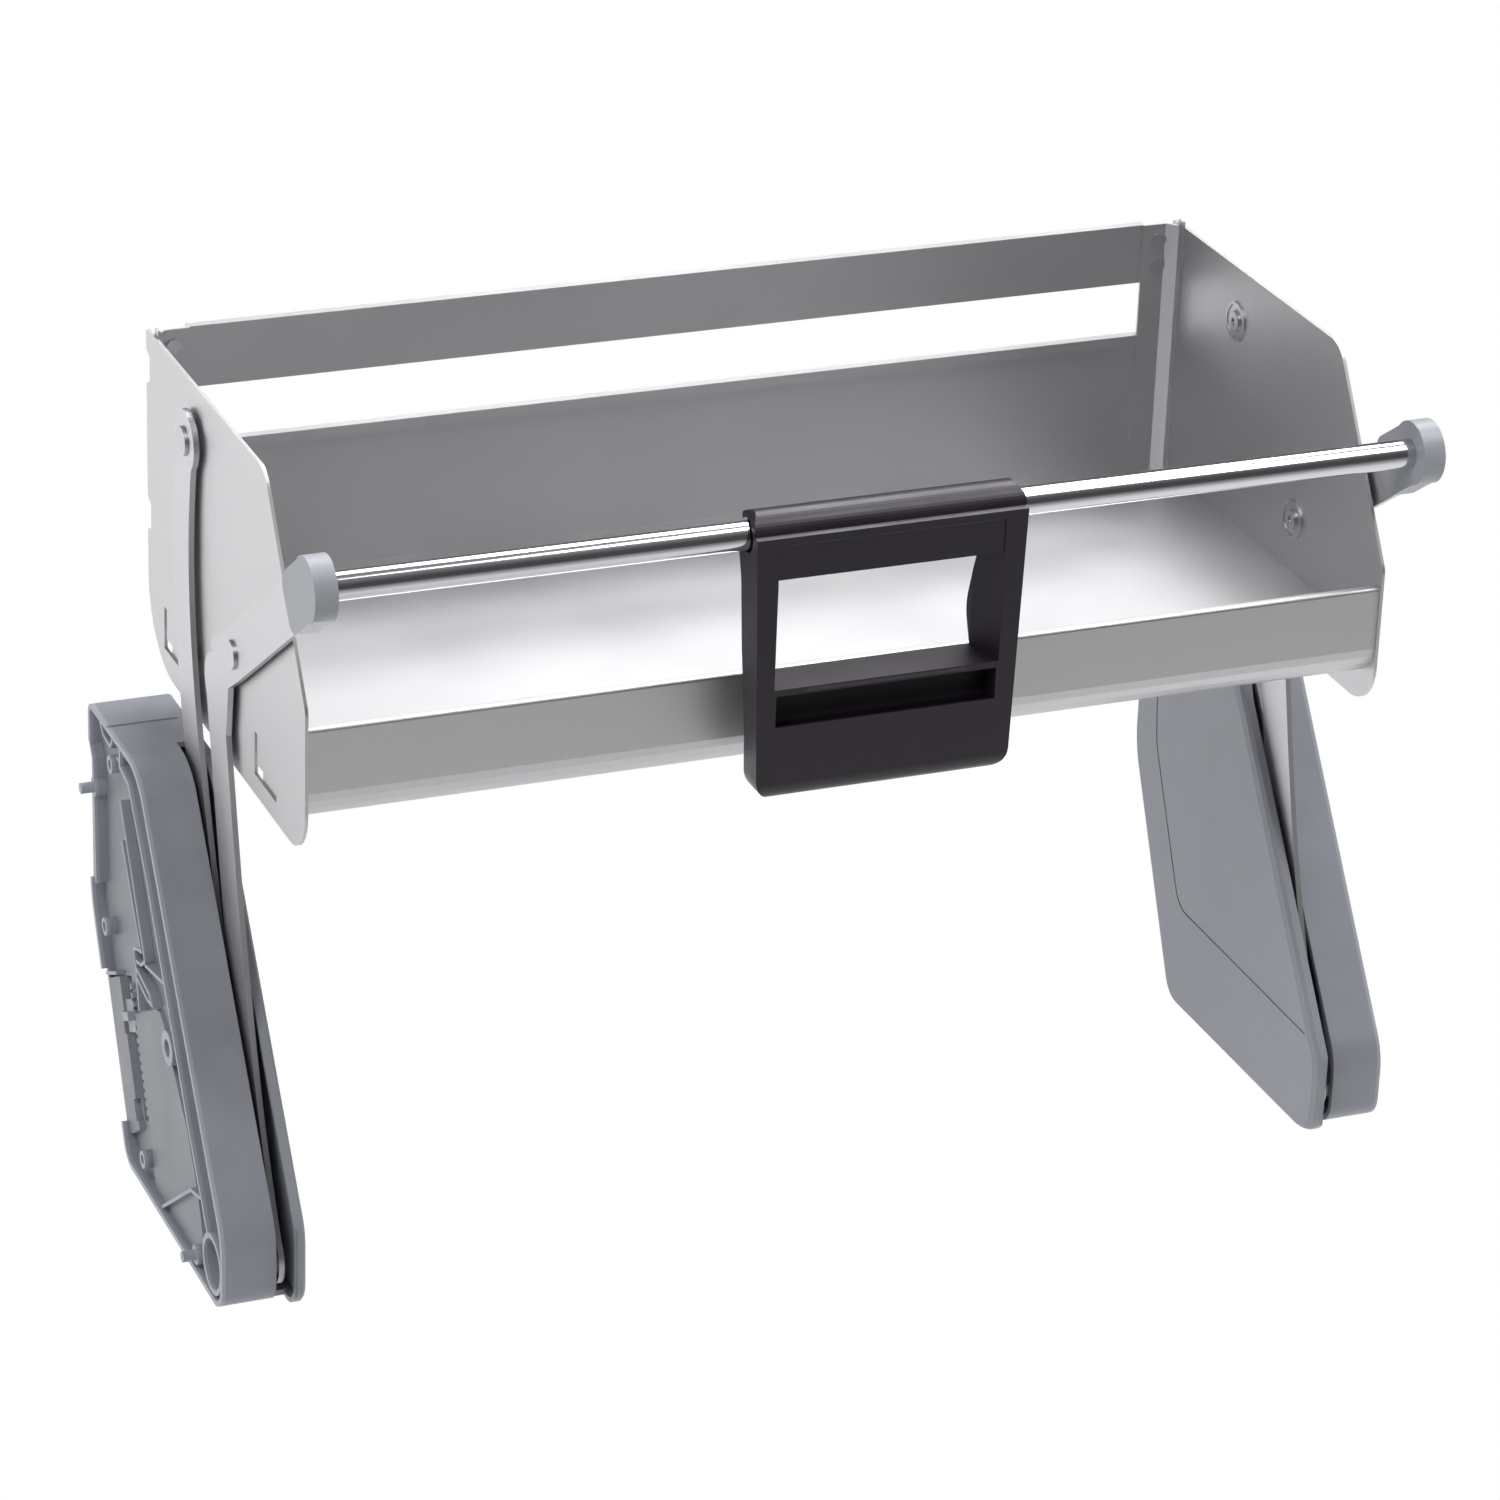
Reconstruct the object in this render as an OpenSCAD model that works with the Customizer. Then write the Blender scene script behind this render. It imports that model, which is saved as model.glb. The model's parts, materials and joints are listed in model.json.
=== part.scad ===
// Pull-down shelf system for a wall cabinet, shown stowed.
// Two side cases are screwed to the cabinet sides. A front and a rear arm in each case carry
// the basket as a parallel linkage. The front arms reach on to a round bar with a hanging handle.
// Origin: middle of the width, at the front bottom edge of the cases. X is right, Y is back, Z is up.

/* [Width] */
// Clear width between the cabinet sides, taken up by the two cases
clear_width = 562; // [500:1:900]
// Gap that the arms run in, between a case's housing and its cover
slot_gap = 6.5; // [6.3:0.1:7]
// Thickness of the steel arms
arm_t = 2.5; // [2:0.1:2.6]
// Thickness of the side panels of the basket
panel_t = 1.5; // [1:0.1:2]

/* [Case] */
// Height of a case
case_h = 207; // [204:1:230]
// Depth of a case from its front to its back
case_d = 200; // [198:1:220]
// Wall thickness of the plastic housing
wall_t = 2.6; // [2:0.1:3]
// Thickness of the steel bearing plate
plate_t = 2; // [1.5:0.1:2.5]

/* [Linkage] */
// Height of the front arm's pivot in the case
case_pivot_z = 18; // [17:0.5:20]
// Distance of the front arm's pivot from the front of the case
case_pivot_y = 15; // [14.5:0.5:17]
// Rearward reach from the front case pivot to the front basket pivot
link_back = 52; // [50:1:54]
// Rise from the front case pivot to the front basket pivot
link_rise = 264; // [262:1:266]
// Rearward step from a front pivot to the rear pivot beside it
pivot_step_y = 69; // [68:1:70]
// Rise from a front pivot to the rear pivot beside it
pivot_step_z = 71; // [70:1:72]
// Angle that the arms turn through, from stowed to fully down
travel = 105; // [90:1:106]
// Width of the arms
arm_w = 25; // [22:1:26]

/* [Basket] */
// Height of the side panels
panel_h = 154.5; // [150:0.5:160]
// Height of the tray floor above the case bottoms
floor_z = 257; // [256:0.5:258]
// Height of the tray's rear wall above its floor
rear_wall_h = 67; // [40:1:75]
// Height of the rear rail
rail_h = 28.5; // [24:0.5:34]
// Thickness of the tray sheet
sheet_t = 1.2; // [1:0.1:1.5]

/* [Handle] */
// Diameter of the bar
bar_d = 12.5; // [12:0.1:13]
// Width of the handle
handle_w = 123; // [100:1:160]
// Place of the handle along the bar, from the middle
handle_offset = -2.5; // [-120:0.5:120]
// Height of the handle
handle_h = 129.5; // [126:0.5:136]
// Depth of the handle from front to back
handle_depth = 21; // [20:0.5:23]

/* [Fits] */
// Radial clearance of the pins that turn
run_fit = 0.08; // [0.04:0.01:0.1]
// Gap left between pieces that move past each other
side_gap = 0.4; // [0.3:0.05:0.5]

/* [Hidden] */
$fn = 48;

// Levels across the width, measured outwards from the middle
case_out = clear_width / 2;
slot_out = case_out - 24.5;
slot_in = slot_out - slot_gap;
cover_in = slot_in - 6;
split_x = slot_in - 1.3;
arm_mid = (slot_out + slot_in) / 2;
arm_in = arm_mid - arm_t / 2;
arm_out = arm_mid + arm_t / 2;
panel_out = slot_in;
panel_in = panel_out - panel_t;
plate_out = slot_out + plate_t;
web_in = case_out - 8;
web_out = web_in + 2.5;

// Pivots, as [back, up]
case_front = [case_pivot_y, case_pivot_z];
case_rear = case_front + [pivot_step_y, pivot_step_z];
basket_front = case_front + [link_back, link_rise];
basket_rear = basket_front + [pivot_step_y, pivot_step_z];
// The bar lies on the line of the front arm's forward branch
branch_dir = [-0.819, 0.574];
branch_reach = 127;
bar_at = basket_front + branch_dir * branch_reach;

// Pin sizes
pin_r = 4;
shaft_r = 6;
end_r = 13;
washer_r = 8.5;

// Basket levels
panel_bottom = basket_front.y - 58.5;
panel_top = panel_bottom + panel_h;
panel_back = basket_rear.x + 71.5;
panel_front = basket_front.x - 85.5;
tip_r = 20;
lip_front = panel_front + 1;
rear_plane = panel_back - 3;

function unit(v) = v / norm(v);
function perp(v) = [-v.y, v.x];
function yz(c) = [c.x, c.y];
function last(list) = list[len(list) - 1];
function reversed(list) = [for (i = [len(list) - 1 : -1 : 0]) list[i]];

// An arc that rounds corner b between a and c
function corner_arc(a, b, c, r, steps) =
  let (
    u = unit(a - b),
    v = unit(c - b),
    half = acos(u * v) / 2,
    centre = b + unit(u + v) * r / sin(half),
    p = b + u * r / tan(half) - centre,
    q = b + v * r / tan(half) - centre,
    from = atan2(p.y, p.x),
    turn = atan2(q.y, q.x) - from,
    sweep = turn > 180 ? turn - 360 : turn < -180 ? turn + 360 : turn
  )
  [for (i = [0 : steps]) centre + r * [cos(from + sweep * i / steps), sin(from + sweep * i / steps)]];

// An outline from corners that are [back, up, radius]
function outline(corners, steps = 8) =
  let (n = len(corners))
  [for (i = [0 : n - 1])
    let (b = corners[i])
    each b[2] > 0
      ? corner_arc(yz(corners[(i + n - 1) % n]), yz(b), yz(corners[(i + 1) % n]), b[2], steps)
      : [yz(b)]];

// The same corners with every edge moved inwards by d, for a convex outline listed counterclockwise
function inset(corners, d) =
  let (n = len(corners))
  [for (i = [0 : n - 1])
    let (
      b = corners[i],
      n1 = perp(unit(yz(b) - yz(corners[(i + n - 1) % n]))),
      n2 = perp(unit(yz(corners[(i + 1) % n]) - yz(b))),
      m = yz(b) + (n1 + n2) * d / (1 + n1 * n2)
    )
    [m.x, m.y, max(b[2] - d, 0)]];

// Points of a curve with two handles
function bezier(p, steps = 20) =
  [for (i = [0 : steps])
    let (t = i / steps)
    pow(1 - t, 3) * p[0] + 3 * t * pow(1 - t, 2) * p[1] + 3 * t * t * (1 - t) * p[2] + pow(t, 3) * p[3]];

// The side of a path, half a width away from it
function side_line(path, w) =
  let (n = len(path))
  [for (i = [0 : n - 1])
    let (
      n1 = perp(unit(path[max(i, 1)] - path[max(i, 1) - 1])),
      n2 = perp(unit(path[min(i + 1, n - 1)] - path[min(i + 1, n - 1) - 1]))
    )
    path[i] + (n1 + n2) * w / 2 / (1 + n1 * n2)];

// A band of width w along a path
function band(path, w) = concat(side_line(path, w), reversed(side_line(path, -w)));

// Stands outlines up and gives each the thickness from x0 to x1
module slab(x0, x1) {
  for (i = [0 : $children - 1])
    translate([x0, 0, 0])
      rotate([90, 0, 90])
        linear_extrude(height = x1 - x0)
          children(i);
}

// A round piece across the width
module rod(at, r, x0, x1) {
  translate([x0, at.x, at.y])
    rotate([0, 90, 0])
      cylinder(h = x1 - x0, r = r);
}

module ring(at, r, bore, x0, x1) {
  difference() {
    rod(at, r, x0, x1);
    rod(at, bore, x0 - 1, x1 + 1);
  }
}

module left() {
  mirror([1, 0, 0])
    children();
}

module both_sides() {
  children();
  left()
    children();
}

// The case

crease_z = 36;
front_lean = [0.716, 1];
// How far the cover stands out in front of the housing, square to the edge
cover_lead = 7;
top_front_y = front_lean.x * (case_h - crease_z);
tail_z = 112;
tail_y = 147;

case_corners = [
  [0, 0, 12],
  [tail_y, 0, 14],
  [case_d, tail_z, 50],
  [case_d, case_h, 6],
  [top_front_y, case_h, 30],
  [0, crease_z, 30]];

// Where the slot in the perimeter wall starts and ends
slot_top_y = top_front_y + 22;
slot_bottom_y = 9;

// Places of the screws that hold a case to the cabinet side, hidden behind the cover
case_screws = [[case_d - 22, 104], [121, 14], [case_d - 34, case_h - 17]];
// Places of the pins that find the holes in the cabinet side
case_studs = [[case_d - 7, case_h - 40], [40, 9]];
// Place of the buffer, under the rear arm when the shelf is down
buffer_r = 5;
arm_start = atan2(76, 21) + travel;
buffer_at = case_rear + 21 * [cos(arm_start), sin(arm_start)]
  + (arm_w / 2 + buffer_r - 1.5) * [-sin(arm_start), cos(arm_start)];
// Places of the screws that hold the bearing plate
plate_holes = [[case_d - 50, case_h - 35], [case_d - 14, 132], [104, 14], [33, 46]];

// The load adjuster slides along a slot beside the sloping back of the case
slot_dir = unit([case_d - tail_y, tail_z]);
adjust_low = [131, 30];
adjust_travel = 40;
adjust_slot = 62;
adjust_rest = adjust_low + slot_dir * 46;
// The crank's pin points at the adjuster when the shelf is stowed
crank_r = 24;
crank_dir = unit(adjust_rest - case_rear);
crank_pin = case_rear + crank_dir * crank_r;
spring_x = web_in - 5;
crank_t = 4;
crank_in = plate_out + 0.7;
// The rotary damper sits round the shaft, between the crank and the web
damper_in = crank_in + crank_t + 0.6;
damper_r = 13;
damper_bore = damper_r - 1.6;
damper_hub_r = 6;

module case_shape(d = 0) {
  polygon(outline(inset(case_corners, d)));
}

// The cover's front edges stand out by a lead
lean_length = norm(front_lean);
function cover_corners(lead) = [
  [-lead, 0, 13],
  [tail_y, 0, 14],
  [case_d, tail_z, 50],
  [case_d, case_h, 6],
  [top_front_y - lead * lean_length, case_h, 30],
  [-lead, crease_z + lead * (lean_length - 1) / front_lean.x, 20]];

module cover_shape(d = 0, lead = cover_lead) {
  polygon(outline(inset(cover_corners(lead), d)));
}

// A place on a case, as on the case of standard depth and height
function spot(y, z) = [y * case_d / 200, z * case_h / 207];

// The part of the case in front of a line from the top opening to the bottom opening
module front_zone(grow = 0) {
  polygon([
    [slot_top_y + grow, case_h + 5],
    [-5, case_h + 5],
    [-5, -5],
    [slot_bottom_y + grow, -5],
    [slot_bottom_y + grow, wall_t + 1],
    [slot_top_y + grow, case_h - wall_t - 1]]);
}

module adjuster_slot_shape(w, extra) {
  polygon(band([adjust_low - slot_dir * extra, adjust_low + slot_dir * (adjust_slot + extra)], w));
}

// The long rib behind the front wall, seen from the cabinet side
rib_path = [
  spot(150, 206),
  spot(150, 196),
  spot(137, 193.5),
  spot(108, 156.3),
  spot(48.7, 66.8),
  spot(30.3, 41.7),
  [22, 30]];

// Thin ribs that stiffen the outer side, as paths
thin_ribs = [
  // Pocket under the top
  [spot(188, 206), spot(180, 198.5), spot(168.5, 197.6), spot(165.5, 201.5), spot(167, 206)],
  [spot(158, 197), spot(149.5, 196)],
  // Pair of long ribs and the hook at their end
  [spot(153.7, 177.8), spot(120, 120), spot(117.6, 115)],
  [spot(151.6, 159.1), spot(124, 118)],
  [spot(117.2, 115.4), spot(123.6, 110.8), spot(131, 109.1)],
  [spot(122, 117.8), spot(130.5, 115.5), spot(135, 113)],
  [spot(135.2, 113.6), spot(131, 103.6), spot(127.3, 86.2)],
  // Wedge beside the adjuster and the ribs that cross the web
  [spot(130.6, 105.2), spot(111.2, 102.4), spot(107, 98.8), spot(114.2, 98), spot(129.8, 101)],
  [spot(117.4, 113.6), spot(84, 119.5)],
  [spot(164, 87), spot(185, 77)],
  [spot(94, 4), spot(50, 36), spot(34, 40)]];

// A place beside the adjuster's slot, by the way along it and the way in front of it
function beside_slot(along, ahead) = adjust_low + slot_dir * along + perp(slot_dir) * ahead;

// Raised part of the web between the adjuster's rack and the front
web_land = [
  beside_slot(47, 9), spot(109, 95.5), spot(104, 96.5), spot(96.7, 92.5), spot(76.6, 71.2),
  spot(63.2, 58.7), spot(48, 36), spot(38, 11), [36, 1.5], [112, 1.5], beside_slot(-6, 9)];

// Raised part behind the slot, out to the case's edge, with two notches beside the slot
edge_land = [
  beside_slot(64, -6.4), beside_slot(48, -6.4), beside_slot(48, -9.6), beside_slot(38, -9.6),
  beside_slot(38, -6.4), beside_slot(8, -6.4), beside_slot(8, -9.6), beside_slot(-2, -9.6),
  beside_slot(-2, -6.4), beside_slot(-6, -6.4), beside_slot(-10, -34), beside_slot(62.5, -40)];

module housing() {
  difference() {
    union() {
      // Perimeter wall
      difference() {
        slab(split_x, case_out) case_shape();
        slab(split_x - 1, case_out + 1) case_shape(wall_t);
        slab(split_x - 1, slot_out) front_zone();
      }
      // Web between the mechanism and the cabinet side
      slab(web_in, web_out) case_shape(1);
      // Ribs towards the cabinet side
      slab(web_out - 0.2, case_out) polygon(band(rib_path, 2));
      for (path = thin_ribs)
        slab(web_out - 0.2, case_out - 1) polygon(band(path, 1.5));
      slab(web_out - 0.2, web_out + 1.8) polygon(web_land);
      slab(web_out - 0.2, case_out - 2.8)
        intersection() {
          case_shape(1);
          polygon(edge_land);
        }
      // The rim steps forward along the back
      slab(web_out - 0.2, case_out)
        polygon(band([
          [case_d - 1, case_h - 20.5], [case_d - 6.5, case_h - 26],
          [case_d - 7.5, case_h - 38], [case_d - 9, 120]], 1.8));
      // Round well around the front pivot
      rod(case_front, 14, web_in - 4, case_out);
      // Screw bosses, through to the cabinet side
      for (at = case_screws) {
        rod(at, 5.5, plate_out, web_out);
        rod(at, 4.2, web_in, case_out);
      }
      for (at = plate_holes)
        rod(at, 4, plate_out, web_out);
      // Studs that find the cabinet's holes
      for (at = case_studs) {
        rod(at, 4.5, web_in, case_out);
        rod(at, 2.5, web_in, case_out + 6);
      }
      // End bearing of the rear shaft
      rod(case_rear, 8, web_in, case_out - 1);
      // Teeth beside the adjuster's slot
      for (i = [0 : 14])
        slab(web_out - 0.2, web_out + 1.8)
          polygon([for (p = [[-1.5, 0], [1.5, 0], [0.9, 2.8], [-0.9, 2.8]])
            beside_slot(2 + 4.1 * i + p.x, 6.4 + p.y)]);
    }
    // Well of the front pivot
    rod(case_front, 11.5, web_out, case_out + 1);
    // Screw holes with head seats on the inner side
    for (at = case_screws) {
      rod(at, 2.3, plate_out - 1, case_out + 1);
      rod(at, 4, plate_out - 1, plate_out + 8);
    }
    for (at = plate_holes)
      rod(at, 1.3, plate_out - 1, web_out - 1);
    // Bearing bore
    rod(case_rear, pin_r + run_fit, plate_out, case_out + 1);
    // Adjuster slot in the web, and the stretch of the back wall left away beside it
    slab(web_in - 1, web_out + 1) adjuster_slot_shape(8.5, 2);
    slab(case_out - 2.8, case_out + 1)
      polygon(band([[case_d, tail_z] - slot_dir * 36, [case_d, tail_z] - slot_dir * 106], 9));
    // Opening in the back wall, through which light falls into the slot
    slab(plate_out + 1.5, web_in - 0.5)
      polygon(band([[case_d, tail_z] - slot_dir * 42, [case_d, tail_z] - slot_dir * 104], 9));
    // Step along the back, outside the rim
    slab(case_out - 1.5, case_out + 1)
      polygon([
        [case_d - 4, 119], [case_d + 2, 119],
        [case_d + 2, case_h - 20], [case_d - 1.5, case_h - 20],
        [case_d - 4, case_h - 24]]);
    // Groove across the top
    slab(split_x - 1, case_out + 1)
      polygon([
        [case_d - 32, case_h + 1], [case_d - 32, case_h - 0.7],
        [case_d - 29.8, case_h - 0.7], [case_d - 29.8, case_h + 1]]);
  }
}

module cover() {
  difference() {
    union() {
      // The face, bevelled in two steps towards the front edge
      hull() {
        slab(cover_in, cover_in + 0.3) cover_shape(0.3, cover_lead - 4.6);
        slab(cover_in + 1, cover_in + 1.3) cover_shape(0, cover_lead - 1.7);
        slab(cover_in + 2.5, cover_in + 2.6) cover_shape(0, cover_lead);
      }
      // Rim
      difference() {
        slab(cover_in + 2.4, slot_in) cover_shape();
        slab(cover_in + 2, slot_in + 1) cover_shape(2.2);
        difference() {
          slab(split_x, slot_in + 1) cover_shape(-1);
          slab(split_x - 1, slot_in + 2) front_zone();
        }
      }
      // Spigots that enter the housing
      for (at = [[150, 60], [184, 150], [120, 6.4]])
        rod(at, 3, cover_in + 2.4, split_x + 1.2);
    }
    // Fine groove on the face, along the back and the bottom
    slab(cover_in - 1, cover_in + 0.5)
      polygon(band(outline_path([[186, case_h], [178, 122], [143, 50], [8, 48]], [0, 40, 14, 0]), 1.1));
  }
}

// An open path whose inner corners are rounded
function outline_path(points, radii, steps = 6) =
  let (n = len(points))
  [for (i = [0 : n - 1])
    each radii[i] > 0
      ? corner_arc(points[i - 1], points[i], points[i + 1], radii[i], steps)
      : [points[i]]];

module bearing_plate() {
  difference() {
    slab(slot_out, plate_out) case_shape(wall_t + 0.2);
    rod(case_front, 3.5, slot_out - 1, plate_out + 1);
    rod(case_rear, 8, slot_out - 1, plate_out + 1);
    for (at = case_screws)
      rod(at, 5, slot_out - 1, plate_out + 1);
    for (at = plate_holes)
      rod(at, 1.7, slot_out - 1, plate_out + 1);
  }
}

// Low-headed screws through the bearing plate into the housing
module plate_screw_set() {
  for (at = plate_holes) {
    rod(at, 3.2, slot_out - 1, slot_out);
    rod(at, 1.3, slot_out - 0.5, plate_out + 8);
  }
}

module front_case_pin() {
  rod(case_front, 6.5, arm_in - 1.5, arm_in - 0.1);
  rod(case_front, pin_r, arm_in - 0.2, arm_out + 0.1);
  rod(case_front, washer_r, arm_out + 0.1, slot_out);
  rod(case_front, 3.5, slot_out - 0.2, plate_out + 0.8);
  rod(case_front, 5, plate_out, plate_out + 1);
}

module arm_bush() {
  ring(case_front, 6, pin_r + run_fit, arm_in, arm_out);
}

module shaft_bush() {
  difference() {
    union() {
      rod(case_rear, 8, slot_out, plate_out);
      rod(case_rear, 9.5, plate_out, plate_out + 0.6);
    }
    rod(case_rear, shaft_r + run_fit, slot_out - 1, plate_out + 2);
  }
}

module rear_shaft() {
  // Head, seat in the arm, collar, journal and end journal
  rod(case_rear, 7.5, arm_in - 1.6, arm_in);
  rod(case_rear, 5, arm_in - 0.5, arm_out);
  rod(case_rear, 7.5, arm_out, slot_out - 0.1);
  rod(case_rear, shaft_r, slot_out - 0.2, crank_in);
  rod(case_rear, 5, crank_in - 0.2, crank_in + crank_t);
  rod(case_rear, 5, crank_in + crank_t, crank_in + crank_t + 0.2);
  rod(case_rear, pin_r, crank_in + crank_t, web_out + 2);
}

crank_angle = atan2(crank_dir.y, crank_dir.x);

module spring_crank() {
  difference() {
    slab(crank_in, crank_in + crank_t) {
      translate(case_rear) circle(r = 12);
      translate(case_rear) rotate(crank_angle) translate([0, -6]) square([crank_r, 12]);
      translate(crank_pin) circle(r = 6);
    }
    rod(case_rear, 5, crank_in - 1, crank_in + crank_t + 1);
  }
  // Pin that holds the spring
  rod(crank_pin, 2.5, crank_in + crank_t, web_in - 0.6);
}

// The adjuster: a grip outside the web, a neck in the slot and a post for the spring
module load_adjuster() {
  neck = band([adjust_rest - slot_dir * 7, adjust_rest + slot_dir * 7], 7.7);
  across = perp(slot_dir);
  slab(web_in - 0.3, web_out + 0.3) polygon(neck);
  slab(web_out + 0.3, web_out + 1.5)
    polygon(band([adjust_rest - across * 6, adjust_rest + across * 6], 15));
  slab(web_out + 1.5, web_out + 4.2)
    polygon(band([adjust_rest - across * 5, adjust_rest + across * 5], 4));
  rod(adjust_rest, 6.2, web_in - 1.5, web_in - 0.3);
  rod(adjust_rest, 2.5, web_in - 9.5, web_in - 1.5);
}

// Angle, seen along the width, of the vanes at rest and of the fixed walls between them
vane_rest = 44;
wall_at = 18;

module sector(r, from, to) {
  intersection() {
    circle(r = r);
    polygon(concat([[0, 0]], [for (a = [from : (to - from) / 4 : to + 0.01]) 2 * r * [cos(a), sin(a)]]));
  }
}

// Damper: a cup on the web with two fixed walls inside, and a lid
module damper_body() {
  difference() {
    rod(case_rear, damper_r, damper_in + 1, web_in);
    rod(case_rear, damper_bore, damper_in, web_in - 1.2);
    rod(case_rear, pin_r + 0.3, damper_in, web_in + 1);
  }
  difference() {
    for (a = [wall_at, wall_at + 180])
      slab(damper_in + 1, web_in - 1)
        translate(case_rear) sector(damper_bore + 0.3, a - 9, a + 9);
    rod(case_rear, damper_hub_r + run_fit, damper_in, web_in);
  }
}

module damper_lid() {
  ring(case_rear, damper_r, damper_hub_r + run_fit, damper_in, damper_in + 1);
}

// Rotor on the shaft, with two vanes that stop short of the fixed walls
module damper_rotor() {
  difference() {
    union() {
      rod(case_rear, damper_hub_r, damper_in - 0.4, web_in - 1.3);
      difference() {
        for (a = [vane_rest, vane_rest + 180])
          slab(damper_in + 1.1, web_in - 1.3)
            translate(case_rear) sector(damper_bore - run_fit, a - 8, a + 8);
        rod(case_rear, damper_hub_r - 0.5, damper_in, web_in);
      }
    }
    rod(case_rear, pin_r, damper_in - 1, web_in);
  }
}

// Buffer that the arm meets at the end of its travel
module end_buffer() {
  rod(buffer_at, buffer_r, arm_in - 1, slot_out);
}

// Assist spring: one wire with a hook round the crank's pin and one round the adjuster's post
spring_wire = 1.7;
spring_coil_r = 3.9;
spring_hook_r = 3.6;
spring_turns = 13;
spring_len = norm(adjust_rest - crank_pin);
spring_path = concat(
  [for (a = [70 : 27.5 : 290]) [spring_hook_r * cos(a), spring_hook_r * sin(a), 0]],
  [for (i = [0 : spring_turns * 8])
    let (a = -90 + 45 * i, s = i / spring_turns / 8)
    [6.5 + (spring_len - 13) * s, spring_coil_r * sin(a), spring_coil_r * cos(a)]],
  [for (a = [290 : -27.5 : 70]) [spring_len - spring_hook_r * cos(a), spring_hook_r * sin(a), 0]]);
spring_gap = min([for (i = [0 : len(spring_path) - 7])
  for (j = [i + 6 : len(spring_path) - 1])
    norm(spring_path[i] - spring_path[j])]) - spring_wire;
echo(str("least gap of the assist spring to itself: ", spring_gap, " mm"));

// A tube of six sides along a path in space
module wire(path, r) {
  n = len(path);
  sides = 6;
  function tangent(i) = unit(path[min(i + 1, n - 1)] - path[max(i - 1, 0)]);
  function out(i) = let (t = tangent(i)) unit(cross(t, abs(t.z) > 0.8 ? [0, 1, 0] : [0, 0, 1]));
  points = [for (i = [0 : n - 1])
    let (t = tangent(i), u = out(i), v = cross(t, u))
    for (k = [0 : sides - 1])
      path[i] + r * (u * cos(60 * k) + v * sin(60 * k))];
  walls = [for (i = [0 : n - 2])
    for (k = [0 : sides - 1])
      let (k2 = (k + 1) % sides)
      each [
        [i * sides + k, i * sides + k2, (i + 1) * sides + k2],
        [i * sides + k, (i + 1) * sides + k2, (i + 1) * sides + k]]];
  ends = [
    [for (k = [sides - 1 : -1 : 0]) k],
    [for (k = [0 : sides - 1]) (n - 1) * sides + k]];
  polyhedron(points = points, faces = [for (f = concat(walls, ends)) reversed(f)], convexity = 10);
}

module assist_spring() {
  translate([spring_x, crank_pin.x, crank_pin.y])
    multmatrix([
      [0, 0, 1, 0],
      [crank_dir.x, -crank_dir.y, 0, 0],
      [crank_dir.y, crank_dir.x, 0, 0],
      [0, 0, 0, 1]])
      wire(spring_path, spring_wire / 2);
}

// The arms

elbow = basket_front + [27, -25];
front_arm_curve = bezier([
  case_front,
  case_front + [41, 66],
  elbow - [21, 95],
  elbow]);
rear_arm_curve = bezier([
  case_rear,
  case_rear + [21, 76],
  basket_rear + [25, -103],
  basket_rear]);

module front_arm() {
  difference() {
    slab(arm_in, arm_out) {
      polygon(band(front_arm_curve, arm_w));
      translate(case_front) circle(r = end_r);
      translate(elbow) circle(r = arm_w / 2 + 1.5);
      polygon(band([elbow + [-1, 8], basket_front, bar_at], arm_w - 1));
      polygon(outline([
        [elbow.x - 22, elbow.y + 18, 0],
        [elbow.x + 4, elbow.y + 12, 0],
        [elbow.x, elbow.y - 30, 0],
        [elbow.x - 15.5, elbow.y - 26, 0]]));
      translate(bar_at) circle(r = 12);
    }
    rod(case_front, 6, arm_in - 1, arm_out + 1);
    rod(basket_front, pin_r + run_fit, arm_in - 1, arm_out + 1);
    rod(bar_at, 2.6, arm_in - 1, arm_out + 1);
  }
}

module rear_arm() {
  difference() {
    slab(arm_in, arm_out) {
      polygon(band(rear_arm_curve, arm_w - 2));
      translate(case_rear) circle(r = end_r - 0.8);
      translate(basket_rear) circle(r = end_r + 1);
    }
    rod(case_rear, 5, arm_in - 1, arm_out + 1);
    rod(basket_rear, pin_r + run_fit, arm_in - 1, arm_out + 1);
  }
}

// The bar and its caps

cap_r = 14.2;
cap_in = arm_in - 5.6;
cap_out = arm_out + 1.9;
cap_reach = 30;
cap_w = 27;
// The inner cheek stays outside the circle that the tip of the side panel needs
cheek_clear = norm([panel_front + tip_r, panel_bottom + tip_r] - basket_front) + tip_r + 1;

module bar_cap() {
  difference() {
    slab(cap_in, cap_out) {
      translate(bar_at) circle(r = cap_r);
      polygon(outline([for (c = [[0, -1, 0], [0, 1, 0], [1, 1, 7], [1, -1, 7]])
        let (p = bar_at - branch_dir * cap_reach * c[0] + perp(branch_dir) * c[1] * cap_w / 2)
        [p.x, p.y, c[2]]]));
    }
    // Room for the basket's edge
    rod(basket_front, cheek_clear, cap_in - 1, arm_in);
    // Slot for the arm
    slab(arm_in, arm_out) {
      translate(bar_at) circle(r = 12);
      polygon(band([bar_at, bar_at - branch_dir * 50], arm_w - 1));
    }
    // Socket of the bar
    rod(bar_at, bar_d / 2, cap_in - 1, arm_in + 0.1);
    // Room for the screw's head
    rod(bar_at, 5, arm_out - 0.1, arm_out + 1.4);
  }
}

module bar() {
  difference() {
    rod(bar_at, bar_d / 2, -arm_in, arm_in);
    both_sides()
      rod(bar_at, 2.5, arm_in - 16, arm_in + 1);
  }
}

module bar_screw() {
  rod(bar_at, 2.5, arm_in - 14, arm_out + 0.1);
  rod(bar_at, 4.8, arm_out, arm_out + 1.3);
}

// The basket

panel_corners = [
  [panel_front, panel_bottom, tip_r],
  [panel_back, panel_bottom, 38],
  [panel_back, panel_top, 1.5],
  [panel_front + 55.5, panel_top, 14],
  [panel_front, panel_bottom + 68, 9]];

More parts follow.
